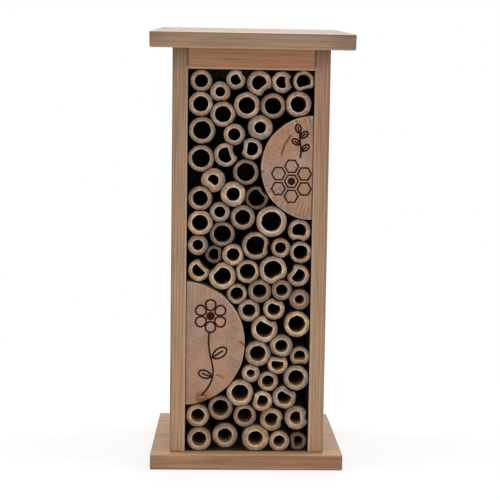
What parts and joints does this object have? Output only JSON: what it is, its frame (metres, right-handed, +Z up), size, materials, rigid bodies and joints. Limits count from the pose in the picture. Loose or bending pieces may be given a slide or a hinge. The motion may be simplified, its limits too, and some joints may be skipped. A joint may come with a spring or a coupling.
{
  "type": "bee hotel",
  "caption": "Free-standing wooden bee hotel: a tall open-fronted box on a base board under a sloping roof board, packed with bamboo lengths and half logs for solitary bees.",
  "frame": {"origin": "middle of the base board's underside", "axes": "+Z up, +X to the right seen from the front, the open front faces -Y"},
  "size_m": [0.118, 0.1073, 0.2762],
  "materials": {
    "pine_board": "sanded, unvarnished",
    "log_end_grain": "sawn end grain with burnt line design",
    "bamboo": "natural cane, sawn and tumbled ends",
    "nail_steel": "bright wire"
  },
  "bodies": {
    "root": {"back_panel": "pine_board", "back_panel_nails": "nail_steel", "base_board": "pine_board", "base_nails": "nail_steel", "front_top_rail": "pine_board", "grooved_tube_01": "bamboo", "grooved_tube_02": "bamboo", "grooved_tube_03": "bamboo", "grooved_tube_04": "bamboo", "grooved_tube_05": "bamboo", "grooved_tube_06": "bamboo", "grooved_tube_07": "bamboo", "grooved_tube_08": "bamboo", "grooved_tube_09": "bamboo", "grooved_tube_10": "bamboo", "grooved_tube_11": "bamboo", "grooved_tube_12": "bamboo", "grooved_tube_13": "bamboo", "grooved_tube_14": "bamboo", "grooved_tube_15": "bamboo", "grooved_tube_16": "bamboo", "grooved_tube_17": "bamboo", "grooved_tube_18": "bamboo", "grooved_tube_19": "bamboo", "grooved_tube_20": "bamboo", "grooved_tube_21": "bamboo", "grooved_tube_22": "bamboo", "grooved_tube_23": "bamboo", "grooved_tube_24": "bamboo", "half_log_nails": "nail_steel", "left_side_panel": "pine_board", "lower_half_log": "log_end_grain", "rail_nails": "nail_steel", "right_side_panel": "pine_board", "roof_board": "pine_board", "roof_nails": "nail_steel", "round_tubes_01": "bamboo", "round_tubes_02": "bamboo", "round_tubes_03": "bamboo", "round_tubes_04": "bamboo", "round_tubes_05": "bamboo", "round_tubes_06": "bamboo", "round_tubes_07": "bamboo", "round_tubes_08": "bamboo", "round_tubes_09": "bamboo", "round_tubes_10": "bamboo", "round_tubes_11": "bamboo", "round_tubes_12": "bamboo", "round_tubes_13": "bamboo", "round_tubes_14": "bamboo", "round_tubes_15": "bamboo", "round_tubes_16": "bamboo", "round_tubes_17": "bamboo", "round_tubes_18": "bamboo", "round_tubes_19": "bamboo", "round_tubes_20": "bamboo", "round_tubes_21": "bamboo", "round_tubes_22": "bamboo", "upper_half_log": "log_end_grain"}
  },
  "joints": []
}
